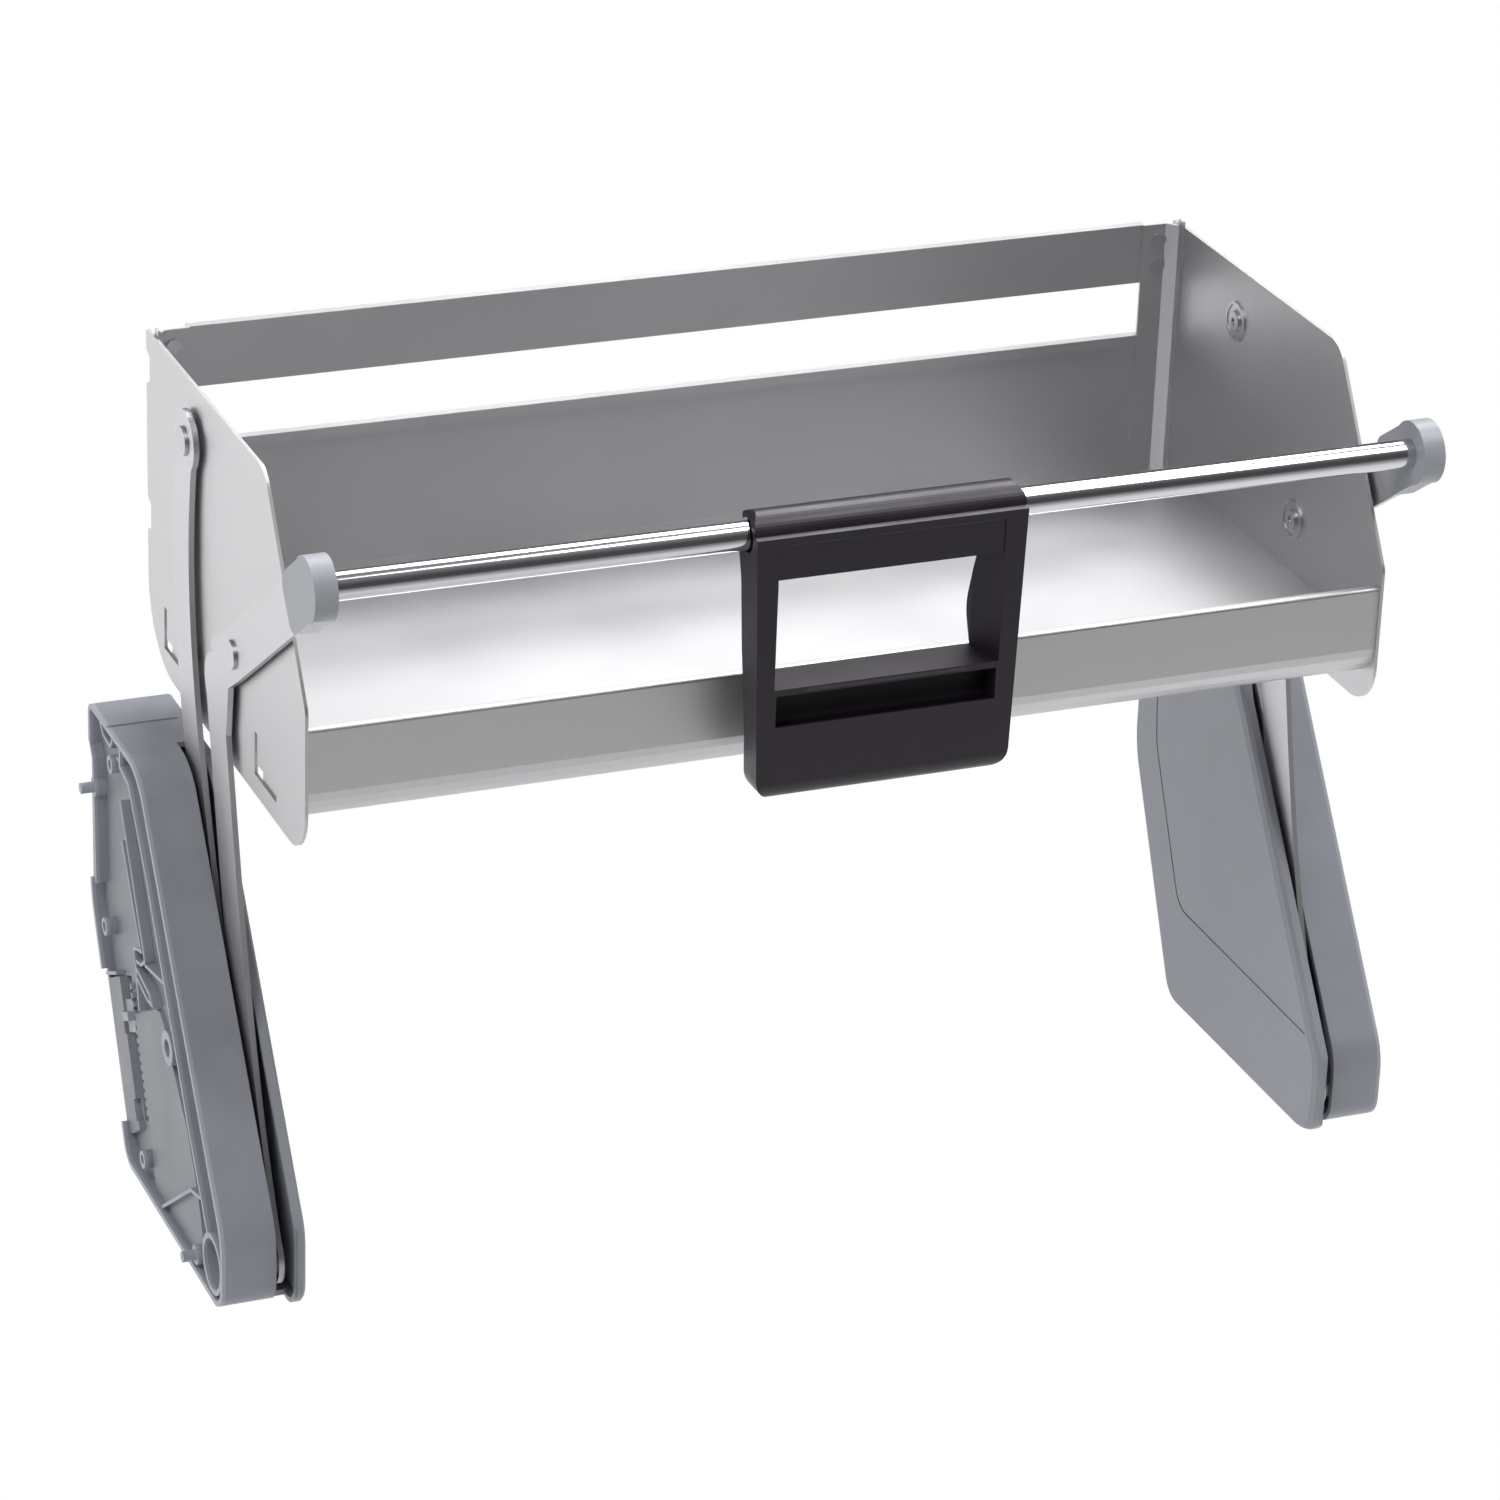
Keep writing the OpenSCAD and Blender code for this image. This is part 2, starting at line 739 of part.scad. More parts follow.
// Slits below the tray that show as an L
front_slit = [panel_front + 66.8, floor_z - 19.2];
rear_slit = [panel_back - 26.5, floor_z - 16.8];

module slit_shape(at, run) {
  polygon([
    at + [2.4, 15],
    at + [-1.6, 15],
    at + [-1.6, 1],
    at + [-run, 1],
    at + [-run, -5],
    at + [2.4, -5]]);
}

// Notches in the back edge of a side panel
notch_z = [panel_top - 17.5, panel_top - 87];

module notch_shape(z) {
  polygon([
    [panel_back + 1, z + 8.5],
    [panel_back - 5, z + 5.5],
    [panel_back - 5, z - 5.5],
    [panel_back + 1, z - 8.5]]);
}

module side_panel() {
  difference() {
    slab(panel_in, panel_out) polygon(outline(panel_corners));
    for (at = [basket_front, basket_rear])
      rod(at, pin_r, panel_in - 1, panel_out + 1);
    side_rivet_shanks(panel_in - 1, panel_out + 1);
    slab(panel_in - 1, panel_out + 1) {
      slit_shape(front_slit, 28);
      slit_shape(rear_slit, 21);
      for (z = notch_z)
        notch_shape(z);
    }
  }
  // Pressed tabs that carry the tray's folds
  slab(panel_in - 1.4, panel_in + 0.1) {
    translate(front_slit + [-29, -5.7]) square([24, 6.7]);
    translate(rear_slit + [-22, -5.7]) square([17, 7.9]);
  }
}

tray_half = panel_in;

// Folds along the floor's sides, between the lip's return and the cross channel
side_fold = [front_slit.x + 4, rear_slit.x - 25];
side_rivets = [side_fold[0] + 36, side_fold[1] - 18];

module tray_floor_body() {
  slab(-tray_half, tray_half)
    polygon([
      [lip_front + sheet_t, floor_z - sheet_t],
      [rear_plane + sheet_t / 2, floor_z - sheet_t],
      [rear_plane + sheet_t / 2, floor_z],
      [lip_front + sheet_t, floor_z]]);
  // Rear wall with a folded top edge, between the hooks of the posts
  slab(-tray_half + 2 * sheet_t, tray_half - 2 * sheet_t)
    polygon(band([
      [rear_plane, floor_z - sheet_t],
      [rear_plane, floor_z + rear_wall_h]], sheet_t));
  slab(-rail_end + 1, rail_end - 1)
    polygon(band([
      [rear_plane, floor_z + rear_wall_h - sheet_t],
      [rear_plane, floor_z + rear_wall_h],
      [rear_plane - 3.6, floor_z + rear_wall_h],
      [rear_plane - 3.6, floor_z + rear_wall_h - 4]], sheet_t));
  // Side folds, riveted to the panels
  both_sides()
    difference() {
      translate([tray_half - sheet_t, side_fold[0], floor_z - 11])
        cube([sheet_t, side_fold[1] - side_fold[0], 11 - sheet_t / 2]);
      side_rivet_shanks(tray_half - 3, tray_half + 1);
    }
}

module tray_front_body() {
  curl = 14;
  slab(-tray_half, tray_half) polygon(band(outline_path([
    [lip_front + sheet_t / 2 + 3.8, floor_z + 20.5],
    [lip_front + sheet_t / 2 + 3.8, floor_z + 25],
    [lip_front + sheet_t / 2, floor_z + 25],
    [lip_front + sheet_t / 2, floor_z - 18.2 + sheet_t * 0.5],
    [front_slit.x - 2.2, floor_z - 18.2 + sheet_t * 0.5],
    [front_slit.x - 2.2, floor_z - sheet_t]], [0, 1, 1, curl, 0, 0]), sheet_t));
}

module cross_channel_body() {
  slab(-tray_half, tray_half) polygon(band([
    [rear_slit.x - 22, floor_z - sheet_t],
    [rear_slit.x - 22, rear_slit.y + 1.6 + sheet_t],
    [rear_slit.x - 1.8, rear_slit.y + 1.6 + sheet_t],
    [rear_slit.x - 1.8, floor_z - sheet_t]], sheet_t));
}

rail_end = panel_in - 16.5;

module rear_rail_body() {
  // A shallow channel, open to the back, with tongues behind the posts
  slab(-rail_end, rail_end) polygon(band([
    [rear_plane + 4, panel_top - 0.6],
    [rear_plane, panel_top - 0.6],
    [rear_plane, panel_top - rail_h + 0.6],
    [rear_plane + 4, panel_top - rail_h + 0.6]], sheet_t));
  both_sides()
    difference() {
      translate([rail_end - 0.1, rear_plane - sheet_t / 2, panel_top - rail_h + 2])
        cube([12, sheet_t, rail_h - 4]);
      rear_rivet_cylinders(rivet_r, rear_plane - 4, rear_plane + 4);
    }
}

// Seen from above: a flange along the side panel, a slanted part and a flange under the rail
module corner_post() {
  y1 = rear_plane - sheet_t;
  difference() {
    union() {
      translate([0, 0, floor_z])
        linear_extrude(height = panel_top - floor_z)
          polygon(band([
            [panel_in - sheet_t / 2, y1 - 9],
            [panel_in - sheet_t / 2, y1 - 5],
            [panel_in - sheet_t / 2 - 5, y1],
            [rail_end - 0.8, y1]], sheet_t));
      // Ear at the top
      translate([panel_in - sheet_t, y1 - 9, panel_top - 1])
        cube([sheet_t, 5, 4]);
      // Hooks that show in the panel's notches
      for (z = notch_z)
        translate([panel_in - sheet_t, y1 - 6, z - 3])
          cube([sheet_t, 9.4, 6]);
    }
    rear_rivet_cylinders(rivet_r, rear_plane - 5, rear_plane + 1);
  }
}

// Rivets that join the posts, the rail and the tray to the panels
rivet_r = 2;
rear_rivets = [panel_top - 8, panel_top - 20.5];

module side_rivet_shanks(x0, x1) {
  for (y = side_rivets)
    rod([y, floor_z - 6], rivet_r, x0, x1);
}

module rear_rivet_cylinders(r, y0, y1) {
  for (z = rear_rivets)
    translate([panel_in - 9.5, y0, z])
      rotate([-90, 0, 0])
        cylinder(h = y1 - y0, r = r);
}

module basket_rivet_set() {
  both_sides() {
    rear_rivet_cylinders(rivet_r, rear_plane - sheet_t * 2, rear_plane + sheet_t);
    rear_rivet_cylinders(rivet_r * 1.7, rear_plane - sheet_t * 1.5 - 0.9, rear_plane - sheet_t * 1.5);
    rear_rivet_cylinders(rivet_r * 1.7, rear_plane + sheet_t / 2, rear_plane + sheet_t / 2 + 0.9);
    side_rivet_shanks(panel_in - sheet_t - 0.4, panel_out + 0.4);
    for (y = side_rivets) {
      rod([y, floor_z - 6], rivet_r * 1.7, panel_out, panel_out + 0.8);
      rod([y, floor_z - 6], rivet_r * 1.7, panel_in - sheet_t - 0.8, panel_in - sheet_t);
    }
  }
}

// Shoulder rivets, spacers and bosses of the basket pivots
module pivot_rivet_set() {
  for (at = [basket_front, basket_rear]) {
    rod(at, 6.5, arm_out + 0.1, arm_out + 1.6);
    difference() {
      union() {
        rod(at, pin_r, panel_in - 1.2, arm_out + 0.2);
        rod(at, pin_r + 0.8, panel_in - 2, panel_in - 1);
      }
      rod(at, 1.8, panel_in - 3, panel_in - 0.8);
    }
  }
}

module pivot_spacer_set() {
  for (at = [basket_front, basket_rear])
    ring(at, washer_r, pin_r, panel_out, arm_in - 0.1);
}

module pivot_boss_set() {
  for (at = [basket_front, basket_rear])
    difference() {
      union() {
        rod(at, 9.2, panel_in - 0.6, panel_in);
        ring(at, 9.2, 7.8, panel_in - 1.2, panel_in - 0.5);
        rod(at, pin_r + 1.6, panel_in - 1, panel_in);
      }
      rod(at, pin_r, panel_in - 4, panel_in + 1);
    }
}

// The handle

handle_crest = 3;
liner_t = 1.2;
clip_r = bar_d / 2 + run_fit + liner_t;
handle_top = bar_at.y + clip_r + handle_crest;
handle_bottom = handle_top - handle_h;
handle_front = bar_at.x - 12.5;
handle_back = handle_front + handle_depth;
// Each side leans in by this much from the top to the bottom
handle_taper = 3.5;
post_w = 10;
wall_h = 2.4;
window_half = handle_w / 2 - post_w;
window_top = bar_at.y - 17;
window_bottom = window_top - 50;
grip_t = 3;
recess_h = 14.4;
apron_top = window_bottom - grip_t - recess_h;
// The bar goes in between these two angles, seen from its middle
clip_from = -35;
clip_to = 50;

module handle_slab(w) {
  translate([handle_offset, 0, 0])
    slab(-w / 2, w / 2)
      children();
}

// An outline seen from above, cut to the heights z0 to z1
module handle_plan(z0, z1) {
  translate([handle_offset, 0, z0])
    linear_extrude(height = z1 - z0)
      children();
}

// Side view of the handle: straight front, rounded foot and a back that may bulge beside the window
module handle_side(bulge) {
  polygon(concat(
    outline([
      [handle_front, bar_at.y + 2, 0],
      [handle_front, handle_bottom, 8],
      [handle_back - 7, handle_bottom, 4],
      [handle_back - 7, apron_top - 6, 16],
      [handle_back - 4 + bulge, window_bottom + 16, 24],
      [handle_back - 3, window_top - 4, 20],
      [handle_back, bar_at.y - 7, 0]]),
    [for (a = [-30 : 7.5 : 165]) bar_at + (clip_r + handle_crest) * [cos(a), sin(a)]]));
}

// Front view of the handle, leaning in towards the bottom
module handle_face() {
  top = handle_w / 2 + 0.5;
  foot = handle_w / 2 - handle_taper;
  polygon(outline([
    [-top, handle_top + 1, 7],
    [-foot, handle_bottom, 11],
    [foot, handle_bottom, 11],
    [top, handle_top + 1, 7]]));
}

// The drafted space between the two posts, seen from above
module between_posts(draft = 4.5) {
  w = window_half;
  polygon([
    [-w - 0.2, handle_front - 1],
    [w + 0.2, handle_front - 1],
    [w - draft, handle_back],
    [w - draft - 1, handle_back + 12],
    [-w + draft + 1, handle_back + 12],
    [-w + draft, handle_back]]);
}

module handle_frame_body() {
  difference() {
    intersection() {
      union() {
        handle_slab(handle_w + 4) handle_side(0);
        // The bulge lies between the posts' inner walls
        handle_slab(2 * window_half + 5) handle_side(9);
      }
      translate([handle_offset, handle_back + 15, 0])
        rotate([90, 0, 0])
          linear_extrude(height = handle_depth + 30)
            handle_face();
    }
    // Seat of the bar with its liner, open to the back so that it snaps on
    handle_slab(handle_w + 10) {
      translate(bar_at) circle(r = clip_r);
      polygon([
        bar_at,
        bar_at + 30 * [cos(clip_from), sin(clip_from)],
        bar_at + 30 * [cos(clip_to), sin(clip_to)]]);
    }
    // Window for the fingers, with a chamfered upper edge
    intersection() {
      handle_plan(window_bottom, window_top + 6) between_posts();
      handle_slab(handle_w) polygon([
        [handle_front - 1, window_top],
        [handle_front + wall_h, window_top],
        [handle_front + wall_h + 1, window_top + 5],
        [handle_back + 12, window_top + 5],
        [handle_back + 12, window_bottom],
        [handle_front - 1, window_bottom]]);
    }
    // Face of the top beam, set back a little between the posts
    handle_slab(2 * window_half) polygon([
      [handle_front - 1, window_top - 1],
      [handle_front + 0.5, window_top - 1],
      [handle_front + 0.5, bar_at.y - 2],
      [handle_front - 1, bar_at.y]]);
    // Finger recess under the grip
    handle_slab(2 * window_half - 2) polygon(outline([
      [handle_front - 1, window_bottom - grip_t, 0],
      [handle_front + 14, window_bottom - grip_t, 5],
      [handle_front + 11, apron_top - 5, 4],
      [handle_front + 1, apron_top, 0],
      [handle_front - 1, apron_top, 0]]));
    // Hollow behind the apron
    intersection() {
      handle_plan(handle_bottom + wall_h, apron_top - wall_h - 5) between_posts(5);
      handle_slab(handle_w) polygon([
        [handle_front + wall_h, handle_bottom + 9],
        [handle_front + wall_h, apron_top - wall_h - 5],
        [handle_back + 12, apron_top - wall_h - 5],
        [handle_back + 12, handle_bottom + wall_h],
        [handle_front + 9, handle_bottom + wall_h]]);
    }
    // Hollow posts, open to the back
    for (side = [-1, 1])
      intersection() {
        handle_plan(handle_bottom + 12, bar_at.y - 12)
          scale([side, 1])
            polygon([
              [window_half + wall_h, handle_front + wall_h],
              [window_half + post_w - handle_taper - wall_h - 0.4, handle_front + wall_h],
              [window_half + post_w - handle_taper - wall_h, handle_back + 12],
              [window_half + wall_h - 5.5, handle_back + 12]]);
        handle_slab(handle_w + 4) polygon([
          [handle_front + wall_h, handle_bottom + 12],
          [handle_front + wall_h, bar_at.y - 22],
          [handle_back + 12, bar_at.y - 12],
          [handle_back + 12, handle_bottom + 12]]);
      }
    // Slot of the grip strip
    handle_slab(2 * window_half - 30) grip_strip_shape(1);
  }
}

module grip_strip_shape(lead = 0) {
  polygon([
    [handle_front - lead, window_bottom - 0.8],
    [handle_front + 1.6, window_bottom - 0.8],
    [handle_front + 1.6, window_bottom - 2.2],
    [handle_front - lead, window_bottom - 2.2]]);
}

module handle_grip_strip_body() {
  handle_slab(2 * window_half - 30) grip_strip_shape();
}

module handle_clip_liner_body() {
  handle_slab(handle_w - 4)
    difference() {
      translate(bar_at) circle(r = clip_r);
      translate(bar_at) circle(r = bar_d / 2 + run_fit);
      polygon([
        bar_at,
        bar_at + 30 * [cos(clip_from), sin(clip_from)],
        bar_at + 30 * [cos(clip_to), sin(clip_to)]]);
    }
}

// Nodes

charcoal = "#2b292d";
case_grey = "#74767a";
light_plastic = "#bcc0c2";
steel = "#c9c9cc";
sheet = "#cfcdd2";
grip_grey = "#4a484c";
liner_grey = "#55555a";

// Moves a node from the side view's zero, on the cases' front plane, to the middle of the depth
mid_depth = round((panel_back + handle_front) / 2);
module seated() {
  translate([0, -mid_depth, 0]) children();
}

module left_housing() { color(case_grey) seated() left() housing(); }
module right_housing() { color(case_grey) seated() housing(); }
module left_cover() { color(case_grey) seated() left() cover(); }
module right_cover() { color(case_grey) seated() cover(); }
module left_bearing_plate() { color(steel) seated() left() bearing_plate(); }
module right_bearing_plate() { color(steel) seated() bearing_plate(); }
module plate_screws() { color(steel) seated() both_sides() plate_screw_set(); }
module left_front_case_pin() { color(steel) seated() left() front_case_pin(); }
module right_front_case_pin() { color(steel) seated() front_case_pin(); }
module left_shaft_bush() { color(light_plastic) seated() left() shaft_bush(); }
module right_shaft_bush() { color(light_plastic) seated() shaft_bush(); }
module left_assist_spring() { color(steel) seated() left() assist_spring(); }
module right_assist_spring() { color(steel) seated() assist_spring(); }
module left_damper_body() { color(charcoal) seated() left() damper_body(); }
module right_damper_body() { color(charcoal) seated() damper_body(); }
module left_damper_lid() { color(charcoal) seated() left() damper_lid(); }
module right_damper_lid() { color(charcoal) seated() damper_lid(); }
module left_damper_rotor() { color(light_plastic) seated() left() damper_rotor(); }
module right_damper_rotor() { color(light_plastic) seated() damper_rotor(); }
module end_buffers() { color(charcoal) seated() both_sides() end_buffer(); }
module left_load_adjuster() { color(light_plastic) seated() left() load_adjuster(); }
module right_load_adjuster() { color(light_plastic) seated() load_adjuster(); }
module left_front_arm() { color(sheet) seated() left() front_arm(); }
module right_front_arm() { color(sheet) seated() front_arm(); }
module left_arm_bush() { color(light_plastic) seated() left() arm_bush(); }
module right_arm_bush() { color(light_plastic) seated() arm_bush(); }
module handle_bar() { color(steel) seated() bar(); }
module left_bar_cap() { color(light_plastic) seated() left() bar_cap(); }
module right_bar_cap() { color(light_plastic) seated() bar_cap(); }
module bar_screws() { color(steel) seated() both_sides() bar_screw(); }
module left_rear_arm() { color(sheet) seated() left() rear_arm(); }
module right_rear_arm() { color(sheet) seated() rear_arm(); }
module left_rear_shaft() { color(steel) seated() left() rear_shaft(); }
module right_rear_shaft() { color(steel) seated() rear_shaft(); }
module left_spring_crank() { color(steel) seated() left() spring_crank(); }
module right_spring_crank() { color(steel) seated() spring_crank(); }
module left_side_panel() { color(sheet) seated() left() side_panel(); }
module right_side_panel() { color(sheet) seated() side_panel(); }
module tray_floor() { color(sheet) seated() tray_floor_body(); }
module tray_front() { color(sheet) seated() tray_front_body(); }
module cross_channel() { color(sheet) seated() cross_channel_body(); }
module rear_rail() { color(sheet) seated() rear_rail_body(); }
module handle_frame() { color(charcoal) seated() handle_frame_body(); }
module handle_grip_strip() { color(grip_grey) seated() handle_grip_strip_body(); }
module handle_clip_liner() { color(liner_grey) seated() handle_clip_liner_body(); }
module left_corner_post() { color(sheet) seated() left() corner_post(); }
module right_corner_post() { color(sheet) seated() corner_post(); }
module basket_rivets() { color(steel) seated() basket_rivet_set(); }
module pivot_rivets() { color(steel) seated() both_sides() pivot_rivet_set(); }
module pivot_spacers() { color(light_plastic) seated() both_sides() pivot_spacer_set(); }
module pivot_bosses() { color(steel) seated() both_sides() pivot_boss_set(); }

left_housing();
right_housing();
left_cover();
right_cover();
left_bearing_plate();
right_bearing_plate();
plate_screws();
left_front_case_pin();
right_front_case_pin();
left_shaft_bush();
right_shaft_bush();
left_assist_spring();
right_assist_spring();
left_damper_body();
right_damper_body();
left_damper_lid();
right_damper_lid();
left_damper_rotor();
right_damper_rotor();
end_buffers();
left_load_adjuster();
right_load_adjuster();
left_front_arm();
right_front_arm();
left_arm_bush();
right_arm_bush();
handle_bar();
left_bar_cap();
right_bar_cap();
bar_screws();
left_rear_arm();
right_rear_arm();
left_rear_shaft();
right_rear_shaft();
left_spring_crank();
right_spring_crank();
left_side_panel();
right_side_panel();
tray_floor();
tray_front();
cross_channel();
rear_rail();
left_corner_post();
right_corner_post();
basket_rivets();
pivot_rivets();
pivot_spacers();
pivot_bosses();
handle_frame();
handle_grip_strip();
handle_clip_liner();
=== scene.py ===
import json
import math

import bpy
from mathutils import Matrix, Vector

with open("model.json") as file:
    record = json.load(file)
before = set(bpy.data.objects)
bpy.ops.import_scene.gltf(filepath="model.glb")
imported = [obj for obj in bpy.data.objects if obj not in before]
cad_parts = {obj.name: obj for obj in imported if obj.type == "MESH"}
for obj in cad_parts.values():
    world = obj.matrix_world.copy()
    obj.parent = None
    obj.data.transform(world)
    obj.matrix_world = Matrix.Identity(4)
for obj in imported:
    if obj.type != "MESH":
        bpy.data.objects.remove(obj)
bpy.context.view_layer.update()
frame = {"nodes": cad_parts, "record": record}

# Camera, solved from the photograph: place in metres, angles in degrees, lens in millimetres
CAMERA_PLACE = Vector((-0.9183, -2.1566, 1.2817))
CAMERA_YAW = 22.84
CAMERA_PITCH = 24.86
CAMERA_ROLL = 2.17
CAMERA_LENS = 138.55
CAMERA_FAR_END = 20

# The floor lies under the lowest point that the handle reaches when the shelf is down
FLOOR_Z = -0.27
FLOOR_REACH = 6.0

# The floor is greyer in front of the shelf, from the first place along y to the second
FLOOR_FADE = (-1.3, -0.5)
FLOOR_NEAR = 0.65
FLOOR_FAR = 0.97

# Light from the world: the wall at the back left, the ceiling and the room
WALL_LEVEL = 0.12
CEILING_LEVEL = 0.20
ROOM_LEVEL = 0.09
WALL_LEFTWARDS = 0.6
WALL_FADE = (0.1, 1.0)
CEILING_FADE = (0.3, 0.95)

# Softboxes: place and target in metres, two sides in metres, power in watts
SOFTBOXES = {
    "top": ((0.60, 0.95, 1.90), (0, 0, 0.2), (1.4, 1.0), 32),
    "front right": ((1.00, -0.60, 2.10), (0, 0, 0.2), (1.0, 1.0), 20),
    "front left": ((-1.30, -0.70, 1.70), (0, 0, 0.2), (1.0, 1.0), 14),
    "side": ((-1.6, 1.3, 0.15), (0, 0, 0.25), (1.4, 0.8), 7),
}

# The web and the rims of a case, on the side towards the cabinet: where they begin, in metres
# from the middle; how dark the web's painted shade and how pale the rims' painted highlight are
WEB_X = 0.2700
RIM_X = 0.2790
SHADE_BLEND = 0.0008
WEB_FACING = (0.8, 0.95)
WEB_PAINTED_SHADE = 0.82
RIM_PAINTED_HIGHLIGHT = 1.35

# Grain of the plastics, in metres
PLASTIC_GRAIN = 0.0006
RUBBER_GRAIN = 0.0010
GRAIN_DEPTH = 0.00015

# Faint clouds in all finishes, in metres
SOFT_MOTTLE = 0.035

# Lines along the drawn bar, in metres, and how strongly they catch the light
LINE_LENGTH = 0.05
LINE_WIDTH = 0.0004
LINE_DEPTH = 0.00005
LINE_STRENGTH = 0.02

# The middle part of a noise, where most of its values lie
NOISE_SPAN = (0.3, 0.7)

BLACK = (0, 0, 0, 1)
WHITE = (1, 1, 1, 1)


class Value:
    """A socket that joins others with the usual signs."""

    def __init__(self, graph, socket):
        self.graph = graph
        self.socket = socket

    def __add__(self, other):
        return self.graph.maths("ADD", self, other)

    def __radd__(self, other):
        return self.graph.maths("ADD", other, self)

    def __sub__(self, other):
        return self.graph.maths("SUBTRACT", self, other)

    def __rsub__(self, other):
        return self.graph.maths("SUBTRACT", other, self)

    def __mul__(self, other):
        return self.graph.maths("MULTIPLY", self, other)

    def __rmul__(self, other):
        return self.graph.maths("MULTIPLY", other, self)


class Graph:
    """Builds one node tree from short calls."""

    def __init__(self, tree):
        self.tree = tree
        tree.nodes.clear()

    def add(self, kind, settings=None, sockets=None, out=0):
        """Adds a node with its settings, then sets or links its sockets. Gives one output."""
        node = self.tree.nodes.new(kind)
        for name, value in (settings or {}).items():
            setattr(node, name, value)
        for name, value in (sockets or {}).items():
            if isinstance(value, Value):
                self.tree.links.new(value.socket, node.inputs[name])
            else:
                node.inputs[name].default_value = value
        return Value(self, node.outputs[out]) if node.outputs else node

    def maths(self, operation, a, b=0.0):
        return self.add("ShaderNodeMath", {"operation": operation}, {0: a, 1: b})

    def mix_colour(self, factor, a, b):
        return self.add("ShaderNodeMix", {"data_type": "RGBA"}, {0: factor, 6: a, 7: b}, out=2)

    def ramp(self, value, span, to=(0.0, 1.0)):
        """A smooth step from one end of "to" to the other, while the value crosses the span."""
        return self.add("ShaderNodeMapRange", {"interpolation_type": "SMOOTHSTEP"}, {
            "Value": value, "From Min": span[0], "From Max": span[1],
            "To Min": to[0], "To Max": to[1]})

    def parts(self, vector):
        """The three parts of a vector."""
        return [self.add("ShaderNodeSeparateXYZ", {}, {0: vector}, out=i) for i in range(3)]

    def facing(self):
        """The way that the surface faces, in the object's own frame."""
        return self.add("ShaderNodeTexCoord", out=1)

    def here(self):
        """The place on the object, in its own frame."""
        return self.add("ShaderNodeTexCoord", out=3)

    def scaled_place(self, scale):
        return self.add("ShaderNodeMapping", {}, {"Vector": self.here(), "Scale": scale})

    def noise(self, size, detail):
        return self.add("ShaderNodeTexNoise", {}, {
            "Vector": self.here(), "Scale": 1 / size, "Detail": detail, "Roughness": 0.55})


def rgb(value):
    """A colour from 0 to 255 as the photograph shows it, made linear."""
    return tuple((c / 255) ** 2.2 for c in value) + (1.0,)


def grey(level):
    return (level, level, level, 1)


def tinted(colour, factor):
    return tuple(min(1.0, c * factor) for c in colour[:3]) + (1.0,)


def around(middle, below, above):
    return (middle - below, middle + above)


def new_material(name):
    material = bpy.data.materials.new(name)
    material.use_nodes = True
    return material, Graph(material.node_tree)


def finish_material(graph, sockets, height=None, strength=0.0, distance=0.0):
    if height is not None:
        sockets["Normal"] = graph.add("ShaderNodeBump", {}, {
            "Strength": strength, "Distance": distance, "Height": height})
    shader = graph.add("ShaderNodeBsdfPrincipled", {}, sockets)
    graph.add("ShaderNodeOutputMaterial", {}, {"Surface": shader})


def moulded_plastic(name, colour, roughness, grain=PLASTIC_GRAIN, strength=0.12, mottle=0.05,
                    painted_light=None):
    """Injection-moulded plastic with a fine spark-eroded grain and faint cloudiness."""
    material, g = new_material(name)
    clouds = g.noise(SOFT_MOTTLE, 3)
    fine = g.noise(grain, 1)
    base = g.mix_colour(g.ramp(clouds, NOISE_SPAN),
                        tinted(colour, 1 - mottle), tinted(colour, 1 + mottle))
    # Painted shade and painted highlight, where a function for them is given
    if painted_light:
        base = painted_light(g, base, colour)
    finish_material(g, {
        "Base Color": base,
        "Roughness": g.ramp(clouds + fine * 0.4, (0.4, 1.0), around(roughness, 0.05, 0.07)),
        "Specular IOR Level": 0.45,
    }, fine, strength, GRAIN_DEPTH)
    return material


def case_painted_shade_and_highlight(g, base, colour):
    """Painted shade makes the deep web of a case a little darker than its walls, and a painted
    highlight makes its smooth rims paler.
    """
    outwards = g.maths("ABSOLUTE", g.parts(g.here())[0])
    sideways = g.maths("ABSOLUTE", g.parts(g.facing())[0])
    # Masks: where the painted shade falls on the web, and where the painted highlight lies on the
    # rims
    web = g.ramp(outwards, (WEB_X, WEB_X + SHADE_BLEND)) * g.ramp(sideways, WEB_FACING)
    rim = g.ramp(outwards, (RIM_X, RIM_X + SHADE_BLEND))
    # The web gets painted shade, then the rims get a painted highlight
    with_painted_shade = g.mix_colour(web, base, tinted(colour, WEB_PAINTED_SHADE))
    return g.mix_colour(rim, with_painted_shade, tinted(colour, RIM_PAINTED_HIGHLIGHT))


def coated_sheet(name, colour, roughness):
    """Steel sheet with a thin silver coat: a broad satin sheen with faint clouds in it."""
    material, g = new_material(name)
    clouds = g.noise(SOFT_MOTTLE * 2, 2)
    finish_material(g, {
        "Base Color": g.mix_colour(g.ramp(clouds, NOISE_SPAN), tinted(colour, 0.97), colour),
        "Metallic": 1.0,
        "Roughness": g.ramp(clouds, NOISE_SPAN, around(roughness, 0.02, 0.02)),
    })
    return material


def drawn_bar(name, colour, roughness):
    """Plated drawn steel, with fine lines along the bar."""
    material, g = new_material(name)
    lines = g.add("ShaderNodeTexNoise", {}, {
        "Vector": g.scaled_place((1 / LINE_LENGTH, 1 / LINE_WIDTH, 1 / LINE_WIDTH)),
        "Scale": 1.0, "Detail": 2.0})
    finish_material(g, {
        "Base Color": colour,
        "Metallic": 1.0,
        "Roughness": g.ramp(lines, NOISE_SPAN, (roughness * 0.8, roughness * 1.25)),
    }, lines, LINE_STRENGTH, LINE_DEPTH)
    return material
